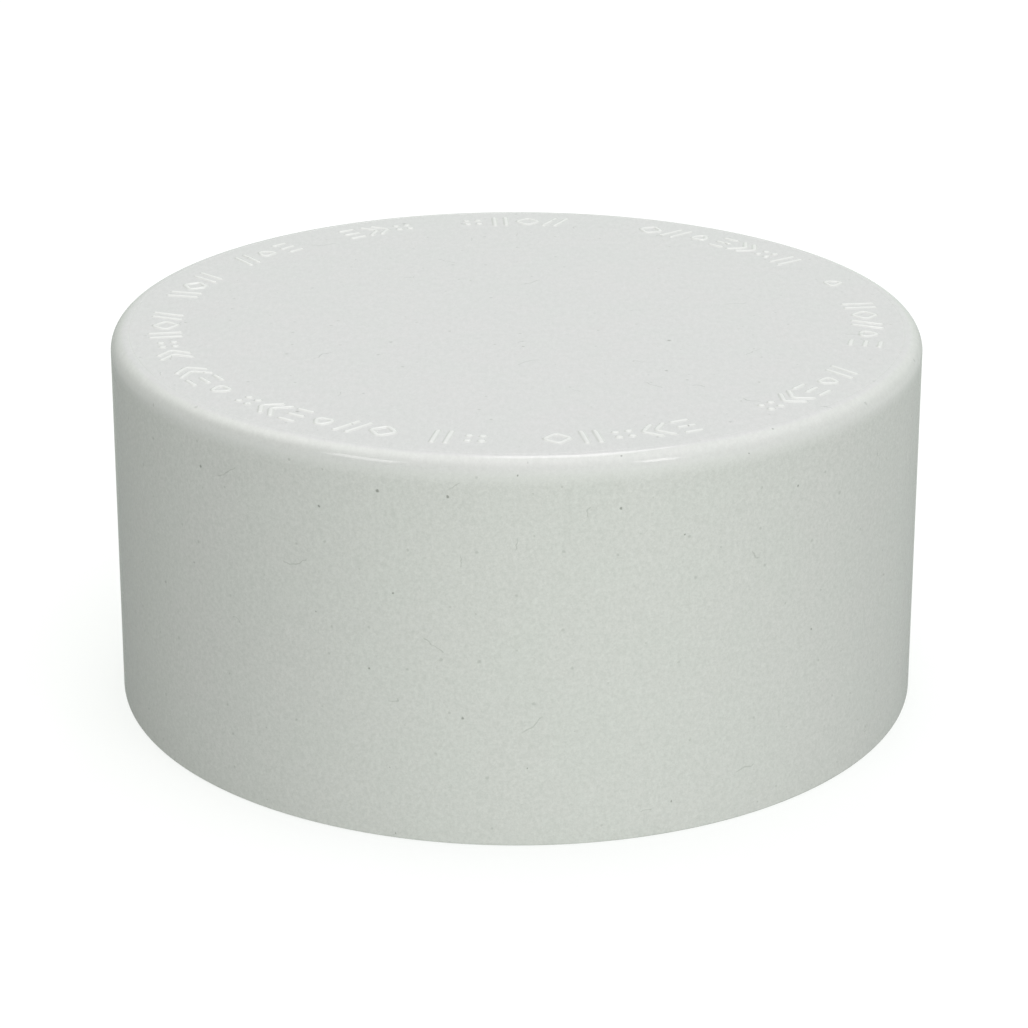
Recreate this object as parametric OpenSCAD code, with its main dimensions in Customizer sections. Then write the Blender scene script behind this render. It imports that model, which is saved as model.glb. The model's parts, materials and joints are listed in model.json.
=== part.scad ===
// Slip-on cap that closes the end of a 3 inch drain pipe, moulded in one piece of rigid PVC.
// The open mouth rests on z = 0 and the closed end is at the top. All sizes are in millimetres.

/* [Outside] */
// Outside diameter just under the rounded edge of the closed end
top_d = 100; // [99:0.5:103]
// Height from the mouth to the flat closed end
height = 46.7; // [46.2:0.1:48]
// Radius of the rounded edge around the closed end
edge_r = 2.1; // [1:0.1:3]
// How much wider the cap is at its mouth, so that it leaves its mould
draft_growth = 1; // [0.2:0.1:2]
// Chamfer on the outer edge of the mouth
rim_chamfer = 0.3; // [0.1:0.1:0.6]

/* [Socket] */
// Diameter of the bore that the pipe slides into
socket_d = 89; // [88.95:0.05:89.25]
// Depth from the mouth to the stop that the pipe's end meets
socket_depth = 38.1; // [37:0.1:38.9]
// Depth of the flare that leads the pipe in
lead_depth = 1.5; // [0.5:0.1:3]
// How much wider than the bore the flare is at the mouth, on each side
lead_flare = 0.8; // [0.2:0.1:1.2]
// Fillet between the bore and the stop
socket_fillet = 0.8; // [0.4:0.1:1.2]

/* [Closed end] */
// Thickness of the closed end behind the recess
end_thickness = 6; // [5:0.1:6.4]
// Distance from the bore to the recess, which is the step that stops the pipe
stop_w = 5.5; // [4:0.5:8]
// Fillet around the recess
recess_fillet = 0.8; // [0.3:0.1:0.8]
// Diameter of the gate mark in the middle of the recess
gate_d = 6; // [3:0.5:10]
// How far the gate mark stands out of the recess
gate_h = 0.6; // [0.2:0.1:0.8]

/* [Hidden] */
$fn = 180;

// Overlap that makes the gate mark and the closed end share volume
sink = 0.5;

top_r = top_d / 2;
mouth_r = top_r + draft_growth / 2;
socket_r = socket_d / 2;
recess_r = socket_r - stop_w;
recess_z = height - end_thickness;

// Half section of a round body that stands on z = 0 and has a filleted top edge
module half_section(low_r, high_r, h, fillet) {
    polygon([[0, 0], [low_r, 0], [high_r, h - fillet], [high_r - fillet, h], [0, h]]);
    translate([high_r - fillet, h - fillet]) circle(r = fillet);
}

// Half section of the outside, with the mouth's outer edge chamfered at 45 degrees
module outside_section() {
    difference() {
        half_section(mouth_r, top_r, height, edge_r);
        translate([mouth_r, 0]) rotate(45) square(rim_chamfer * sqrt(2), center = true);
    }
}

// Half section of the flare, which goes on below the mouth so that it cuts the rim cleanly
module lead_in_section() {
    polygon([
        [0, -lead_depth],
        [socket_r + 2 * lead_flare, -lead_depth],
        [socket_r, lead_depth],
        [0, lead_depth]
    ]);
}

// Half section of the hollow: flare, straight bore up to the stop, and recess behind the stop
module hollow_section() {
    lead_in_section();
    half_section(socket_r, socket_r, socket_depth, socket_fillet);
    half_section(recess_r, recess_r, recess_z, recess_fillet);
}

// The whole cap is one moulding: shell, closed end, pipe stop and gate mark
module cap() {
    color([0.87, 0.88, 0.86]) {
        rotate_extrude()
            difference() {
                outside_section();
                hollow_section();
            }
        translate([0, 0, recess_z - gate_h])
            cylinder(d = gate_d, h = gate_h + sink);
    }
}

cap();
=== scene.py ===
"""The looks of the pipe cap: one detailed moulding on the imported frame, its plastic, a studio and a camera.

Lengths named below are in millimetres unless their comment says otherwise, and MM turns them into metres.
"""

import json
import math

import bpy
from mathutils import Matrix, Quaternion, Vector
from mathutils.geometry import delaunay_2d_cdt


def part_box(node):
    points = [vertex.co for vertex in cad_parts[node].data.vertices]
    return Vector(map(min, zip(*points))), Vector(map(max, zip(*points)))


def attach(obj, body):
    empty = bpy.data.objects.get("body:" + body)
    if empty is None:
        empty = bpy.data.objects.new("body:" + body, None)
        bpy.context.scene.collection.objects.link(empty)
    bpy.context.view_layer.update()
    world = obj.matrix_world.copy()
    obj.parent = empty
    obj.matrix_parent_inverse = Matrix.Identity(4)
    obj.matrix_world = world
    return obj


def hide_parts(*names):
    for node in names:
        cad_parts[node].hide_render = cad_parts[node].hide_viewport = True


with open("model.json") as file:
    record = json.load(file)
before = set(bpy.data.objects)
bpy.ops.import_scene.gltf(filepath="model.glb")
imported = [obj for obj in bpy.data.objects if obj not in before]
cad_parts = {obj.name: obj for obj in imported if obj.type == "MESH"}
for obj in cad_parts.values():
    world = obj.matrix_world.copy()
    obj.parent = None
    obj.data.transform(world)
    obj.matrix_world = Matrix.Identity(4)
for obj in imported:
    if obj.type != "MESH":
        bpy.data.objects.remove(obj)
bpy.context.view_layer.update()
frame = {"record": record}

MM = 0.001


# ---------------------------------------------------------------- sizes

def frame_sizes():
    """The cap's main sizes in millimetres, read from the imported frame."""
    low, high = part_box("cap")
    mounts = {mount["name"]: mount for mount in frame["record"]["mounts"]}
    socket = mounts["pipe_socket"]
    middle = socket["pos_m"][2] / MM
    half = socket["dims"]["length_mm"] / 2
    return {
        "height": high[2] / MM,
        "mouth_r": (high[0] - low[0]) / 2 / MM,
        "socket_r": socket["dims"]["r_mm"],
        "socket_low": middle - half,
        "stop_z": mounts["pipe_stop"]["pos_m"][2] / MM,
    }


SIZES = frame_sizes()
HEIGHT = SIZES["height"]
MOUTH_R = SIZES["mouth_r"]
SOCKET_R = SIZES["socket_r"]
SOCKET_LOW = SIZES["socket_low"]
STOP_Z = SIZES["stop_z"]

# As in the CAD source
DRAFT = 0.5
EDGE_R = 2.1
LEAD_FLARE = 0.8
SOCKET_FILLET = 0.8
STOP_W = 5.5
RECESS_FILLET = 0.8
END_THICKNESS = 6.0
GATE_R = 3.0
GATE_H = 0.6

TOP_R = MOUTH_R - DRAFT
RECESS_R = SOCKET_R - STOP_W
RECESS_Z = HEIGHT - END_THICKNESS
FLAT_R = TOP_R - EDGE_R

# Radii of the section's corners, where the CAD source has a sharp corner, a chamfer or a hair more
EDGE_ROUND = EDGE_R - 0.01
RIM_ROUND = 0.3
FLARE_LOW_ROUND = 0.15
FLARE_HIGH_ROUND = 0.3
STOP_ROUND = 0.2
GATE_ROUND = 0.12

# How far the gate mark's flank leans to each side of GATE_R, and where its rings end in a fan
GATE_LEAN = 0.1
GATE_HUB_R = GATE_R / 3

# The line that the mould's insert leaves around the flat end
WITNESS_IN = 0.10
WITNESS_W = 0.08
WITNESS_DEPTH = 0.02
WITNESS_ROUND = 0.03

# Raised marks on the flat end
MARK_R = 43.3
MARK_LEN = 4.3
MARK_W = 0.75
MARK_H = 0.15
MARK_PITCH = 5.0
MARK_SPAN = 3.1
DASH_HALF = 0.4 * MARK_SPAN
DOT_R = 0.52
CORNER_R = 0.55
BAND_IN = 40.2
BAND_OUT = 46.4

# How finely round shapes are divided: the sides of a ring, of a dot and of a stroke's round end, the
# degrees per step of a mark's corner, and the rings of the flat end inside the marks
SEGMENTS = 360
DOT_SIDES = 18
END_STEPS = 6
MARK_TURN = 20
FLAT_RINGS = 8

# Points closer than this are one point when the flat end is triangulated
SAME_POINT = 1e-6


# ---------------------------------------------------------------- mesh helpers

class Builder:
    """Collects vertices in millimetres and faces, and turns them into one mesh object."""

    def __init__(self):
        self.points = []
        self.faces = []

    def add(self, points):
        first = len(self.points)
        self.points += points
        return list(range(first, len(self.points)))

    def ring(self, radius, z, count=SEGMENTS):
        turns = [2 * math.pi * i / count for i in range(count)]
        return self.add([(radius * math.cos(a), radius * math.sin(a), z) for a in turns])

    def bridge(self, outer, inner):
        """Quads between two closed loops of the same length; outer is the left or lower one."""
        count = len(outer)
        for i in range(count):
            k = (i + 1) % count
            self.faces.append((outer[i], outer[k], inner[k], inner[i]))

    def fan(self, loop, centre):
        count = len(loop)
        for i in range(count):
            self.faces.append((loop[i], loop[(i + 1) % count], centre))

    def build(self, name):
        mesh = bpy.data.meshes.new(name)
        mesh.from_pydata([Vector(p) * MM for p in self.points], [], self.faces)
        mesh.validate()
        mesh.shade_smooth()
        piece = bpy.data.objects.new(name, mesh)
        bpy.context.scene.collection.objects.link(piece)
        return piece


def rounded(corners, longest=4.0, turn=6.0):
    """A path through corners, each (x, y, radius). The corners are rounded, in steps of about turn degrees,
    and stretches longer than longest are divided."""
    path = [Vector(corners[0][:2])]
    for before, here, after in zip(corners, corners[1:], corners[2:]):
        corner = Vector(here[:2])
        inward = (Vector(before[:2]) - corner).normalized()
        outward = (Vector(after[:2]) - corner).normalized()
        angle = math.pi - inward.angle(outward)
        steps = max(2, math.ceil(math.degrees(angle) / turn))
        reach = here[2] * math.tan(angle / 2)
        bisector = (inward + outward).normalized()
        centre = corner + bisector * here[2] / math.cos(angle / 2)
        start = corner + inward * reach - centre
        side = 1 if start.y * inward.x > start.x * inward.y else -1
        for i in range(steps + 1):
            a = side * angle * i / steps
            path.append(centre + Matrix.Rotation(a, 2) @ start)
    path.append(Vector(corners[-1][:2]))
    full = [path[0]]
    for a, b in zip(path, path[1:]):
        pieces = max(1, math.ceil((b - a).length / longest))
        full += [a.lerp(b, i / pieces) for i in range(1, pieces + 1)]
    return full


# ---------------------------------------------------------------- raised marks

def bars(lean):
    """Two parallel bars, leaning by an angle in degrees."""
    turn = Matrix.Rotation(math.radians(lean), 2)
    half = turn @ Vector((0, (MARK_LEN - MARK_W) / 2))
    middles = [Vector((x, 0)) for x in (-MARK_SPAN / 4, MARK_SPAN / 4)]
    return [([middle - half, middle + half], False) for middle in middles]


def outline(sides, turn):
    """The outline of a regular polygon with its first corner at an angle in degrees."""
    corners = []
    for i in range(sides):
        a = math.radians(turn) + 2 * math.pi * i / sides
        corners.append((MARK_SPAN / 2 * math.cos(a), MARK_SPAN / 2 * math.sin(a), CORNER_R))
    middle = Vector(corners[0][:2]).lerp(Vector(corners[-1][:2]), 0.5)
    path = rounded([(*middle, 0), *corners, (*middle, 0)], turn=MARK_TURN)
    return [(path[:-1], True)]


def dashes():
    """Three short bars across the radius."""
    half = Vector((DASH_HALF - MARK_W / 2, 0))
    rise = Vector((0, (MARK_LEN - MARK_W) / 2))
    return [([rise * i - half, rise * i + half], False) for i in (-1, 0, 1)]


def chevrons():
    """Two nested angles that point clockwise."""
    strokes = []
    arm = (MARK_LEN - MARK_W) / 2
    for x in (-MARK_SPAN / 4, MARK_SPAN / 4):
        tail = x - MARK_SPAN / 4
        tip = x + MARK_SPAN / 4
        angle = [(tail, arm, 0), (tip, 0, CORNER_R), (tail, -arm, 0)]
        strokes.append((rounded(angle, turn=MARK_TURN), False))
    return strokes


def dots():
    """Four round studs in a square, each a path of one point."""
    reach = MARK_SPAN / 4
    return [([Vector((x, y))], False) for x in (-reach, reach) for y in (-reach, reach)]


MARK_KINDS = [
    lambda: bars(0),
    lambda: outline(4, 0),
    lambda: bars(-20),
    lambda: outline(3, 90),
    dashes,
    chevrons,
    dots,
]

# Each group of marks: the angle of its first mark in degrees from +X towards +Y, and how many marks it has.
# They go clockwise from the first.
MARK_GROUPS = [
    (7, 5), (-28, 5), (-64, 5), (-96, 2), (-110, 6), (-142, 3), (-161, 5),
    (-193, 3), (-215, 3), (-239, 3), (-262, 4), (-295, 7), (-340, 1),
]

# A stroke's relief: how far its foot reaches past the stroke's width, the flat skirt around the foot that
# keeps the shading of the flat end calm, steps up the flank, and half the width of the flat land on top
FOOT = 0.08
SKIRT = 0.05
FLANK_STEPS = 6
LAND = 0.09


def relief():
    """From the flat surround to the top of a stroke: distances from its middle line, and heights."""
    outer = MARK_W / 2 + FOOT
    steps = [(outer + SKIRT, 0.0)]
    for i in range(FLANK_STEPS + 1):
        t = i / FLANK_STEPS
        steps.append((outer + (LAND - outer) * t, MARK_H * t * t * (3 - 2 * t)))
    return steps


def path_normals(path, closed):
    """Mitred unit offsets to the left of each point of a path."""
    count = len(path)
    normals = []
    for i in range(count):
        before = path[i] - path[i - 1] if i or closed else None
        after = path[(i + 1) % count] - path[i] if i < count - 1 or closed else None
        sides = [Vector((-d.y, d.x)).normalized() for d in (before, after) if d is not None]
        if len(sides) == 1:
            normals.append(sides[0])
        else:
            normals.append((sides[0] + sides[1]) / (1 + sides[0].dot(sides[1])))
    return normals


def stroke_loops(path, closed, distance):
    """Closed loops at a distance from a path: one around an open path or a dot, two along a closed one."""
    if len(path) == 1:
        radius = DOT_R - MARK_W / 2 + distance
        turns = [2 * math.pi * i / DOT_SIDES for i in range(DOT_SIDES)]
        return [[path[0] + radius * Vector((math.cos(a), math.sin(a))) for a in turns]]
    normals = path_normals(path, closed)
    left = [p + n * distance for p, n in zip(path, normals)]
    right = [p - n * distance for p, n in zip(path, normals)]
    if closed:
        return [right, left]
    loop = list(right)
    end_turns = [math.pi * i / END_STEPS for i in range(1, END_STEPS)]
    loop += [path[-1] + Matrix.Rotation(a, 2) @ (-normals[-1] * distance) for a in end_turns]
    loop += list(reversed(left))
    loop += [path[0] + Matrix.Rotation(a, 2) @ (normals[0] * distance) for a in end_turns]
    return [loop]


def add_stroke(builder, place, path, closed):
    """Adds one raised stroke. Returns its boundary loops on the flat end, as lists of vertex numbers."""
    rows = []
    for distance, height in relief():
        loops = stroke_loops(path, closed, distance)
        rows.append([builder.add([place(p, HEIGHT + height) for p in loop]) for loop in loops])
    for lower, upper in zip(rows, rows[1:]):
        for side, (low, high) in enumerate(zip(lower, upper)):
            if side == 0:
                builder.bridge(low, high)
            else:
                builder.bridge(high, low)
    top = rows[-1]
    if closed:
        builder.bridge(top[0], top[1])
    elif len(path) == 1:
        centre = builder.add([place(path[0], HEIGHT + MARK_H)])[0]
        builder.fan(top[0], centre)
    else:
        close_land(builder, top[0], len(path))
    return rows[0]


def close_land(builder, loop, count):
    """Fills the narrow top of an open stroke: a strip between its two sides, and its two round ends."""
    right = loop[:count]
    rest = len(loop) - 2 * count
    left = list(reversed(loop[count + rest // 2:2 * count + rest // 2]))
    for i in range(count - 1):
        builder.faces.append((right[i], right[i + 1], left[i + 1], left[i]))
    far_end = loop[count - 1:count + rest // 2 + 1]
    near_end = loop[2 * count + rest // 2 - 1:] + loop[:1]
    builder.faces.append(tuple(far_end))
    builder.faces.append(tuple(near_end))


def add_marks(builder):
    """Adds every mark. Returns the boundary loops that the flat end has to join."""
    boundaries = []
    for group, (first, count) in enumerate(MARK_GROUPS):
        for i in range(count):
            angle = math.radians(first - i * MARK_PITCH - 90)
            turn = Matrix.Rotation(angle, 2)

            def place(point, z, turn=turn):
                flat = turn @ Vector((point.x, point.y + MARK_R))
                return (flat.x, flat.y, z)

            kind = (2 * group + i) % len(MARK_KINDS)
            for path, closed in MARK_KINDS[kind]():
                boundaries.append(add_stroke(builder, place, path, closed))
    return boundaries


# ---------------------------------------------------------------- the moulding

def fill_band(builder, outer, inner, strokes):
    """Triangulates the flat band between two rings around the raised strokes."""
    used = list(outer) + list(inner)
    for loops in strokes:
        for loop in loops:
            used += loop
    local = {vertex: i for i, vertex in enumerate(used)}
    # Region 0 is the band, region 1 is the hole inside it, and the strokes' loops follow
    regions = [outer, inner] + [loop for loops in strokes for loop in loops]
    holes = {1}
    islands = set()
    number = 2
    for loops in strokes:
        holes.add(number)
        if len(loops) == 2:
            islands.add(number + 1)
        number += len(loops)
    flat = [Vector(builder.points[v][:2]) for v in used]
    polygons = [[local[v] for v in region] for region in regions]
    _, _, triangles, origins, _, parents = delaunay_2d_cdt(flat, [], polygons, 0, SAME_POINT, True)
    for triangle, inside in zip(triangles, parents):
        depth = sum(1 for n in inside if n in holes) - sum(1 for n in inside if n in islands)
        if 0 in inside and depth == 0:
            builder.faces.append(tuple(used[origins[i][0]] for i in triangle))


def shell_corners():
    """The cap's section as (radius, z, rounding), from the flat end outwards, down and up the inside."""
    witness = FLAT_R - WITNESS_IN
    return [
        (BAND_OUT, HEIGHT, 0),
        (witness - WITNESS_W, HEIGHT, WITNESS_ROUND),
        (witness - WITNESS_W / 2, HEIGHT - WITNESS_DEPTH, WITNESS_ROUND),
        (witness, HEIGHT, WITNESS_ROUND),
        (TOP_R, HEIGHT, EDGE_ROUND),
        (MOUTH_R, 0, RIM_ROUND),
        (SOCKET_R + LEAD_FLARE, 0, FLARE_LOW_ROUND),
        (SOCKET_R, SOCKET_LOW, FLARE_HIGH_ROUND),
        (SOCKET_R, STOP_Z, SOCKET_FILLET),
        (RECESS_R, STOP_Z, STOP_ROUND),
        (RECESS_R, RECESS_Z, RECESS_FILLET),
        (GATE_R + GATE_LEAN, RECESS_Z, GATE_ROUND),
        (GATE_R - GATE_LEAN, RECESS_Z - GATE_H, GATE_ROUND),
        (GATE_HUB_R, RECESS_Z - GATE_H, 0),
    ]


def make_moulding():
    """The whole cap as one closed mesh: its turned shell, the flat end and the raised marks."""
    builder = Builder()
    rings = [builder.ring(p.x, p.y) for p in rounded(shell_corners())]
    for upper, lower in zip(rings, rings[1:]):
        builder.bridge(lower, upper)
    builder.fan(list(reversed(rings[-1])), builder.add([(0, 0, RECESS_Z - GATE_H)])[0])

    flat_radii = [BAND_IN * k / FLAT_RINGS for k in range(FLAT_RINGS, 0, -1)]
    flats = [builder.ring(r, HEIGHT) for r in flat_radii]
    for outer, inner in zip(flats, flats[1:]):
        builder.bridge(outer, inner)
    builder.fan(flats[-1], builder.add([(0, 0, HEIGHT)])[0])

    strokes = add_marks(builder)
    fill_band(builder, rings[0], flats[0], strokes)
    return builder.build("cap_moulding")


# ---------------------------------------------------------------- plastic

class Nodes:
    """Short calls for a node tree."""

    def __init__(self, tree):
        self.tree = tree
        self.tree.nodes.clear()

    def add(self, kind, values=None, **settings):
        node = self.tree.nodes.new(kind)
        for name, value in settings.items():
            setattr(node, name, value)
        for key, value in (values or {}).items():
            if isinstance(value, bpy.types.NodeSocket):
                self.tree.links.new(value, node.inputs[key])
            else:
                node.inputs[key].default_value = value
        return node

    def math(self, operation, *values, clamp=False):
        node = self.add("ShaderNodeMath", dict(enumerate(values)), operation=operation, use_clamp=clamp)
        return node.outputs[0]

    def vector(self, operation, first, second):
        return self.add("ShaderNodeVectorMath", {0: first, 1: second}, operation=operation).outputs[0]

    def scaled(self, vector, factor):
        return self.add("ShaderNodeVectorMath", {0: vector, "Scale": factor}, operation="SCALE").outputs[0]

    def length(self, vector):
        return self.add("ShaderNodeVectorMath", {0: vector}, operation="LENGTH").outputs["Value"]

    def ramp(self, value, low, high, to_low=0.0, to_high=1.0):
        """Maps a value from low..high to to_low..to_high, smoothly and clamped."""
        node = self.add(
            "ShaderNodeMapRange",
            {"Value": value, "From Min": low, "From Max": high, "To Min": to_low, "To Max": to_high},
            interpolation_type="SMOOTHSTEP",
        )
        return node.outputs["Result"]

    def noise(self, vector, scale, detail=3.0, roughness=0.5):
        values = {"Vector": vector, "Scale": scale, "Detail": detail, "Roughness": roughness}
        return self.add("ShaderNodeTexNoise", values).outputs["Fac"]

    def finish(self, kind, values):
        """The shader that the material ends in."""
        shader = self.add(kind, values)
        output = self.add("ShaderNodeOutputMaterial")
        self.tree.links.new(shader.outputs[0], output.inputs["Surface"])

    def mix(self, factor, first, second):
        node = self.add("ShaderNodeMix", {"Factor": factor}, data_type="RGBA")
        for socket, value in ((6, first), (7, second)):
            if isinstance(value, bpy.types.NodeSocket):
                self.tree.links.new(value, node.inputs[socket])
            else:
                node.inputs[socket].default_value = (*value, 1.0)
        return node.outputs[2]


def surface_chart(nodes, vector, upright):
    """Flat coordinates in millimetres: round the axis and up on the walls, across on the flats."""
    split = nodes.add("ShaderNodeSeparateXYZ", {"Vector": vector})
    x, y, z = split.outputs
    angle = nodes.math("ARCTAN2", x, nodes.math("MULTIPLY", y, -1.0))
    around = nodes.math("MULTIPLY", angle, TOP_R)
    wall = nodes.add("ShaderNodeCombineXYZ", {"X": around, "Y": z, "Z": 0.0})
    flat = nodes.add("ShaderNodeCombineXYZ", {"X": x, "Y": y, "Z": 0.0})
    is_flat = nodes.math("GREATER_THAN", upright, FLAT_CHART)
    chart = nodes.add("ShaderNodeMix", {"Factor": is_flat}, data_type="VECTOR")
    nodes.tree.links.new(wall.outputs["Vector"], chart.inputs[4])
    nodes.tree.links.new(flat.outputs["Vector"], chart.inputs[5])
    return chart.outputs[1]


def wander(nodes, chart, scale, reach):
    """The chart pushed aside by a soft noise, so that round and straight shapes turn irregular."""
    push = nodes.add("ShaderNodeTexNoise", {"Vector": chart, "Scale": scale, "Detail": 2.0})
    push = nodes.vector("SUBTRACT", push.outputs["Color"], (0.5, 0.5, 0.5))
    return nodes.vector("ADD", chart, nodes.scaled(push, 2 * reach))


def scattered(nodes, chart, cell, share):
    """Scattered points, one in a share of the cells: cell colour, mask, and place relative to the point."""
    cells = nodes.add("ShaderNodeTexVoronoi", {"Vector": chart, "Scale": 1 / cell}, voronoi_dimensions="2D")
    chosen = nodes.add("ShaderNodeSeparateColor", {"Color": cells.outputs["Color"]}).outputs[0]
    mask = nodes.math("LESS_THAN", chosen, share)
    local = nodes.vector("SUBTRACT", chart, cells.outputs["Position"])
    local = nodes.vector("MULTIPLY", local, (1.0, 1.0, 0.0))
    return cells.outputs["Color"], mask, local


def specks(nodes, chart, cell, small, large, share):
    """A mask of irregular specks between two radii."""
    colour, mask, local = scattered(nodes, chart, cell, share)
    size = nodes.add("ShaderNodeSeparateColor", {"Color": colour}).outputs[1]
    radius = nodes.add(
        "ShaderNodeMapRange", {"Value": size, "To Min": small, "To Max": large}
    ).outputs["Result"]
    away = nodes.length(local)
    ratio = nodes.math("DIVIDE", away, radius)
    return nodes.math("MULTIPLY", nodes.ramp(ratio, 0.5, 1.2, 1.0, 0.0), mask)


def fibres(nodes, chart, cell, length, width, share):
    """A mask of short fibres, each an arc through its cell's point with a bend of its own."""
    colour, mask, local = scattered(nodes, chart, cell, share)
    random = nodes.vector("SUBTRACT", colour, (0.5, 0.5, 0.5))
    random = nodes.add("ShaderNodeSeparateXYZ", {"Vector": nodes.scaled(random, FIBRE_BEND)})
    bend = nodes.add("ShaderNodeCombineXYZ", {"X": random.outputs[1], "Y": random.outputs[2], "Z": 0.0})
    bend = nodes.scaled(bend.outputs[0], length)
    reach = nodes.length(nodes.vector("SUBTRACT", local, bend))
    off_arc = nodes.math("ABSOLUTE", nodes.math("SUBTRACT", reach, nodes.length(bend)))
    line = nodes.ramp(off_arc, 0.3 * width, width, 1.0, 0.0)
    away = nodes.length(local)
    ends = nodes.ramp(away, 0.35 * length, 0.5 * length, 1.0, 0.0)
    return nodes.math("MULTIPLY", nodes.math("MULTIPLY", line, ends), mask)


# The plastic's colours: two that its blotches alternate between, the dark side of its grain, a pale painted
# highlight on the tops of the marks and the rounded edge, and dirt. The flat end's colour is multiplied by a
# painted tint that makes it a little less green than the wall, standing in for the colour of the light from
# above.
PLASTIC = (0.562, 0.590, 0.552)
PLASTIC_WARM = (0.570, 0.590, 0.557)
PLASTIC_SHADE = (0.436, 0.456, 0.426)
PAINTED_HIGHLIGHT_COLOUR = (0.616, 0.636, 0.608)
DIRT = (0.11, 0.125, 0.10)
FLAT_PAINTED_LIGHT_TINT = (1.003, 0.984, 1.018)

# Noises, with scales in cycles per millimetre. The flat end's grain is stretched from front to back, so
# that it doesn't look like streaks from a low viewpoint, and FLAT_GRAININESS makes it weaker.
BLOTCH_SCALE = 0.13
WALL_GRAIN_SCALE = 2.1
FLAT_GRAIN_SCALE = 1.5
FLAT_STRETCH = (1.0, 0.45, 1.0)
FLAT_GRAININESS = 0.52
GRAIN_DETAIL = 4.0
GRAIN_ROUGHNESS = 0.95
RUB_SCALE = 0.25
PEEL_SCALE = 0.55
RIPPLE_SCALE = 2.2

# Where the noises turn from one colour into the other
BLOTCH_EDGES = (0.35, 0.65)
GRAIN_EDGES = (0.2, 0.8)

# The vertical part of the normal where the wall's grain turns into the flat's, where the flat's painted
# tint of the light from above sets in, and where the specks' chart changes from the walls to the flats
TURN_TO_FLAT = (0.3, 0.9)
TURN_TO_PAINTED_TINT = (0.9, 0.995)
FLAT_CHART = 0.7

# The pale painted highlight on the rounded edge begins the first of these under the edge, is strongest
# between two depths, and ends at a third one. These depths are under the flat end and in edge radii.
EDGE_HIGHLIGHT_BELOW = 1.2
EDGE_HIGHLIGHT_FULL_LOW = 0.8
EDGE_HIGHLIGHT_FULL_HIGH = 0.75
EDGE_HIGHLIGHT_END = 0.3
EDGE_HIGHLIGHT_STRENGTH = 0.5

# The tops of the marks get a pale painted highlight from this share of their height upwards
MARK_HIGHLIGHT_FROM = 0.3

# Gloss where the plastic is clean, between its smoothest and its most rubbed places, and what dirt adds
ROUGH_LOW = 0.09
ROUGH_HIGH = 0.16
ROUGH_DIRT = 0.4
IOR = 1.53

# Bump: its full height, and the share of the fine ripple and of dirt beside the orange peel
BUMP_HEIGHT = 0.010
RIPPLE_SHARE = 0.2
DIRT_SHARE = 1.5

# Dust, then fainter specks: size of the cells, smallest and largest radius, share of the cells that hold
# one, strength, and the scale and reach of the noise that makes them irregular
SPECKS = [
    (8.5, 0.08, 0.21, 0.40, 0.65, 2.5, 0.14),
    (4.6, 0.08, 0.24, 0.45, 0.22, 3.0, 0.12),
]

# The arc of a fibre has its centre up to half this many fibre lengths away, across and along
FIBRE_BEND = 4.0

# Hairs, then fluff: size of the cells, length, width, share of the cells that hold one, strength, and the
# scale and reach of the noise that makes them irregular
FIBRES = [
    (13.0, 3.4, 0.10, 0.30, 0.26, 0.45, 0.9),
    (7.0, 1.6, 0.09, 0.14, 0.26, 0.90, 0.6),
]


def grain_mask(nodes, vector, flatness):
    """Fine grain on the walls, and a coarser one on the flats."""
    wall_grain = nodes.noise(vector, WALL_GRAIN_SCALE, GRAIN_DETAIL, GRAIN_ROUGHNESS)
    stretched = nodes.vector("MULTIPLY", vector, FLAT_STRETCH)
    flat_grain = nodes.noise(stretched, FLAT_GRAIN_SCALE, GRAIN_DETAIL, GRAIN_ROUGHNESS)
    wall_part = nodes.math("MULTIPLY", wall_grain, nodes.math("SUBTRACT", 1.0, flatness))
    flat_part = nodes.math("MULTIPLY", flat_grain, flatness)
    grain = nodes.ramp(nodes.math("ADD", wall_part, flat_part), *GRAIN_EDGES)
    graininess = nodes.math("SUBTRACT", 1.0, nodes.math("MULTIPLY", flatness, 1.0 - FLAT_GRAININESS))
    return nodes.math("MULTIPLY", grain, graininess)


def clean_colour_and_painted_tint(nodes, vector, upright):
    """The plastic's colour with its blotches and its grain, times the flat end's painted tint that stands in
    for the colour of the light from above.
    """
    blotches = nodes.noise(vector, BLOTCH_SCALE, 3.0, 0.6)
    colour = nodes.mix(nodes.ramp(blotches, *BLOTCH_EDGES), PLASTIC, PLASTIC_WARM)
    flatness = nodes.ramp(upright, *TURN_TO_FLAT)
    colour = nodes.mix(grain_mask(nodes, vector, flatness), colour, PLASTIC_SHADE)
    # Painted light: the flat end is tinted a little less green, in place of the colour of the light from
    # above.
    painted_light_tint = nodes.mix(nodes.ramp(upright, *TURN_TO_PAINTED_TINT), (1.0, 1.0, 1.0), FLAT_PAINTED_LIGHT_TINT)
    return nodes.vector("MULTIPLY", colour, painted_light_tint)


def painted_highlight_mask(nodes, vector):
    """Where a pale painted highlight goes: the tops of the marks and, less strongly, the rounded edge."""
    depth = nodes.add("ShaderNodeSeparateXYZ", {"Vector": vector}).outputs["Z"]
    painted_mark_highlight = nodes.ramp(depth, HEIGHT + MARK_HIGHLIGHT_FROM * MARK_H, HEIGHT + MARK_H)
    below = nodes.ramp(depth, HEIGHT - EDGE_R - EDGE_HIGHLIGHT_BELOW, HEIGHT - EDGE_HIGHLIGHT_FULL_LOW * EDGE_R)
    full = HEIGHT - EDGE_HIGHLIGHT_FULL_HIGH * EDGE_R
    above = nodes.ramp(depth, full, HEIGHT - EDGE_HIGHLIGHT_END * EDGE_R, EDGE_HIGHLIGHT_STRENGTH, 0.0)
    return nodes.math("MAXIMUM", painted_mark_highlight, nodes.math("MULTIPLY", below, above))


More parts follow.
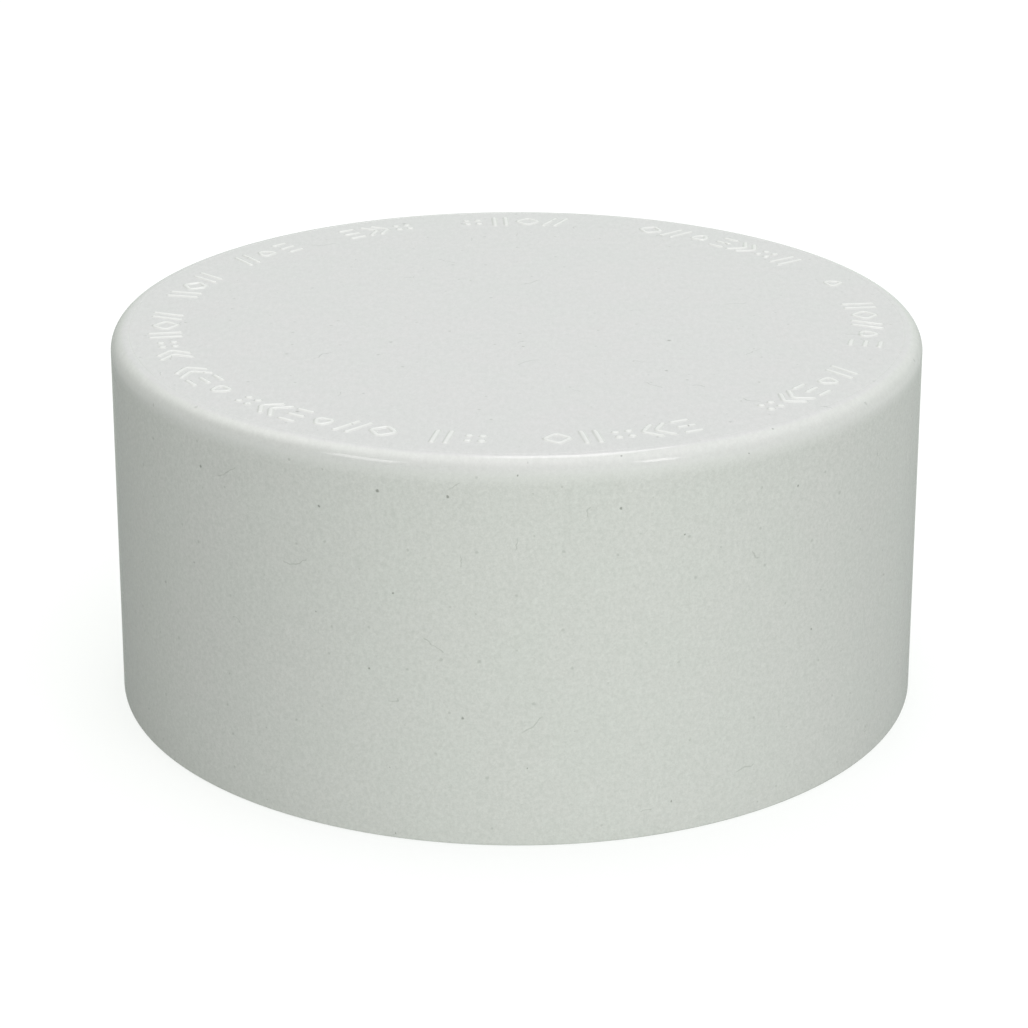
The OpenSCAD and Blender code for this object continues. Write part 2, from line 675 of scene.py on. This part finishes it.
def dirt_mask(nodes, chart):
    """Dust specks and fibres, each as strong as its table says."""
    masks = []
    for cell, small, large, share, strength, scale, reach in SPECKS:
        mask = specks(nodes, wander(nodes, chart, scale, reach), cell, small, large, share)
        masks.append(nodes.math("MULTIPLY", mask, strength))
    for cell, length, width, share, strength, scale, reach in FIBRES:
        mask = fibres(nodes, wander(nodes, chart, scale, reach), cell, length, width, share)
        masks.append(nodes.math("MULTIPLY", mask, strength))
    dirt = masks[0]
    for mask in masks[1:]:
        dirt = nodes.math("MAXIMUM", dirt, mask)
    return dirt


def surface_bump(nodes, vector, dirt):
    """Orange peel, a fine ripple and raised dirt."""
    peel = nodes.noise(vector, PEEL_SCALE, 1.0)
    ripple = nodes.noise(vector, RIPPLE_SCALE, 2.0, 0.8)
    height = nodes.math("ADD", peel, nodes.math("MULTIPLY", ripple, RIPPLE_SHARE))
    height = nodes.math("ADD", height, nodes.math("MULTIPLY", dirt, DIRT_SHARE))
    bump = nodes.add("ShaderNodeBump", {"Height": height, "Strength": 1.0, "Distance": BUMP_HEIGHT * MM})
    return bump.outputs["Normal"]


def make_plastic():
    """Glossy off-white PVC with its grain, dust and orange peel, and painted light: a highlight on the marks
    and the rounded edge, and a tint on the flat end.
    """
    material = bpy.data.materials.new("pvc")
    material.use_nodes = True
    nodes = Nodes(material.node_tree)
    place = nodes.add("ShaderNodeTexCoord").outputs["Object"]
    vector = nodes.scaled(place, 1 / MM)
    normal = nodes.add("ShaderNodeNewGeometry").outputs["Normal"]
    upright = nodes.math("ABSOLUTE", nodes.add("ShaderNodeSeparateXYZ", {"Vector": normal}).outputs["Z"])
    dirt = dirt_mask(nodes, surface_chart(nodes, vector, upright))

    colour = clean_colour_and_painted_tint(nodes, vector, upright)
    # Painted highlight: the tops of the marks and the rounded edge are painted pale.
    colour = nodes.mix(painted_highlight_mask(nodes, vector), colour, PAINTED_HIGHLIGHT_COLOUR)
    colour = nodes.mix(dirt, colour, DIRT)

    rubs = nodes.noise(vector, RUB_SCALE, 5.0, 0.65)
    roughness = nodes.ramp(rubs, 0.3, 0.8, ROUGH_LOW, ROUGH_HIGH)
    roughness = nodes.math("ADD", roughness, nodes.math("MULTIPLY", dirt, ROUGH_DIRT), clamp=True)

    nodes.finish("ShaderNodeBsdfPrincipled", {
        "Base Color": colour,
        "Roughness": roughness,
        "Normal": surface_bump(nodes, vector, dirt),
        "IOR": IOR,
    })
    return material


# ---------------------------------------------------------------- studio

# Half the floor's width and the height of the wall around it, in metres
FLOOR_HALF = 3.0
WALL_HIGH = 3.0
FLOOR_COLOUR = (0.3, 0.3, 0.3)
FLOOR_GLOW = (0.645, 0.665, 0.645)

# The soft light of the room: azimuth from +Y towards +X and elevation in degrees, sharpness, and colour.
# The fourth is a pale patch low behind the cap, and the fifth is the table as the cap's wall mirrors it.
SOFT_LIGHTS = [
    (-50, 57, 10.0, (1.38, 1.36, 1.32)),
    (146, 64, 2.5, (1.95, 1.85, 1.98)),
    (14, 28, 1.25, (0.67, 0.715, 0.675)),
    (0, -4, 30.0, (0.28, 0.33, 0.28)),
    (167, -39, 1.6, (1.62, 1.76, 1.53)),
]

# Each small softbox: name, azimuth and elevation, width and height in metres, watts. Each is BOX_DISTANCE
# metres from the middle of the cap.
SOFTBOXES = [
    ("left_box", -133, 40.5, 0.28, 0.22, 0.60),
    ("right_box", 136, 41.5, 0.15, 0.20, 0.40),
    ("back_box", 8, 59.5, 0.22, 0.40, 0.60),
]
BOX_DISTANCE = 1.0


def direction(azimuth, elevation):
    """The unit vector towards an azimuth and an elevation in degrees."""
    around = math.radians(azimuth)
    up = math.radians(elevation)
    return Vector((math.sin(around) * math.cos(up), math.cos(around) * math.cos(up), math.sin(up)))


def make_sheet(name, points, faces, kind, values):
    """A plain stage sheet of paper with a material of one shader."""
    mesh = bpy.data.meshes.new(name)
    mesh.from_pydata(points, [], faces)
    sheet = bpy.data.objects.new(name, mesh)
    bpy.context.scene.collection.objects.link(sheet)
    material = bpy.data.materials.new(f"{name}_paper")
    material.use_nodes = True
    Nodes(material.node_tree).finish(kind, values)
    mesh.materials.append(material)
    return sheet


def floor_corners(z):
    """The corners of the floor's square at a height in metres."""
    half = FLOOR_HALF
    return [(-half, -half, z), (half, -half, z), (half, half, z), (-half, half, z)]


def make_floor():
    """A pale floor that glows faintly, as a lit table does. Glossy rays pass it and meet the world."""
    floor = make_sheet("floor", floor_corners(0), [(0, 1, 2, 3)], "ShaderNodeBsdfPrincipled", {
        "Base Color": (*FLOOR_COLOUR, 1.0),
        "Roughness": 1.0,
        "Emission Color": (*FLOOR_GLOW, 1.0),
        "Emission Strength": 1.0,
    })
    floor.visible_glossy = False


def make_backdrop():
    """A plain white wall around the floor that only the camera sees: it neither lights nor shades."""
    points = floor_corners(0) + floor_corners(WALL_HIGH)
    faces = [(i, i + 4, (i + 1) % 4 + 4, (i + 1) % 4) for i in range(4)]
    white = {"Color": (1.0, 1.0, 1.0, 1.0), "Strength": 1.0}
    backdrop = make_sheet("backdrop", points, faces, "ShaderNodeEmission", white)
    backdrop.visible_diffuse = False
    backdrop.visible_glossy = False
    backdrop.visible_transmission = False
    backdrop.visible_shadow = False


def make_world():
    """Soft light from a few directions, each a smooth lobe."""
    world = bpy.data.worlds.new("studio")
    world.use_nodes = True
    nodes = Nodes(world.node_tree)
    facing = nodes.add("ShaderNodeTexCoord").outputs["Generated"]
    total = None
    for azimuth, elevation, sharpness, colour in SOFT_LIGHTS:
        towards = {0: facing, 1: direction(azimuth, elevation)}
        dot = nodes.add("ShaderNodeVectorMath", towards, operation="DOT_PRODUCT")
        lobe = nodes.math("POWER", nodes.math("MAXIMUM", dot.outputs["Value"], 0.0), sharpness)
        light = nodes.add("ShaderNodeBackground", {"Color": (*colour, 1.0), "Strength": lobe}).outputs[0]
        total = nodes.add("ShaderNodeAddShader", {0: total, 1: light}).outputs[0] if total else light
    output = nodes.add("ShaderNodeOutputWorld")
    nodes.tree.links.new(total, output.inputs["Surface"])
    bpy.context.scene.world = world


def make_softboxes():
    """Small area lights whose mirror images are the bright streaks on the rounded edge."""
    middle = Vector((0, 0, HEIGHT / 2 * MM))
    for name, azimuth, elevation, width, height, watts in SOFTBOXES:
        away = direction(azimuth, elevation)
        lamp = bpy.data.lights.new(name, "AREA")
        lamp.shape = "RECTANGLE"
        lamp.size = width
        lamp.size_y = height
        lamp.energy = watts
        lamp_object = bpy.data.objects.new(name, lamp)
        lamp_object.location = middle + away * BOX_DISTANCE
        lamp_object.rotation_euler = (-away).to_track_quat("-Z", "Y").to_euler()
        bpy.context.scene.collection.objects.link(lamp_object)


# The camera looks along +Y and down, a little below the middle of the cap. Elevation, drop, swing and roll
# are in degrees, the distance is from the middle of the cap, and the near clipping is in metres.
CAMERA_ELEVATION = 21.31
CAMERA_DISTANCE = 371.85
CAMERA_LENS = 102.6
CAMERA_CLIP = 0.01
CAMERA_DROP = 0.390
CAMERA_SWING = 0.046
CAMERA_ROLL = 0.069


def make_camera():
    """The camera at the photo's viewing angle."""
    up = math.radians(CAMERA_ELEVATION)
    away = Vector((0, -math.cos(up), math.sin(up)))
    middle = Vector((0, 0, HEIGHT / 2 * MM))
    lens = bpy.data.cameras.new("camera")
    lens.lens = CAMERA_LENS
    lens.clip_start = CAMERA_CLIP
    camera = bpy.data.objects.new("camera", lens)
    camera.location = middle + away * CAMERA_DISTANCE * MM
    facing = (-away).to_track_quat("-Z", "Y")
    drop = Quaternion((1, 0, 0), -math.radians(CAMERA_DROP))
    swing = Quaternion((0, 1, 0), math.radians(CAMERA_SWING))
    roll = Quaternion((0, 0, 1), math.radians(CAMERA_ROLL))
    camera.rotation_mode = "QUATERNION"
    camera.rotation_quaternion = facing @ drop @ swing @ roll
    bpy.context.scene.collection.objects.link(camera)
    bpy.context.scene.camera = camera


# ---------------------------------------------------------------- putting it together

make_camera()
make_floor()
make_backdrop()
make_world()
make_softboxes()

moulding = make_moulding()
moulding.data.materials.append(make_plastic())
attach(moulding, "root")
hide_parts("cap")

bpy.context.scene.view_settings.view_transform = "Standard"
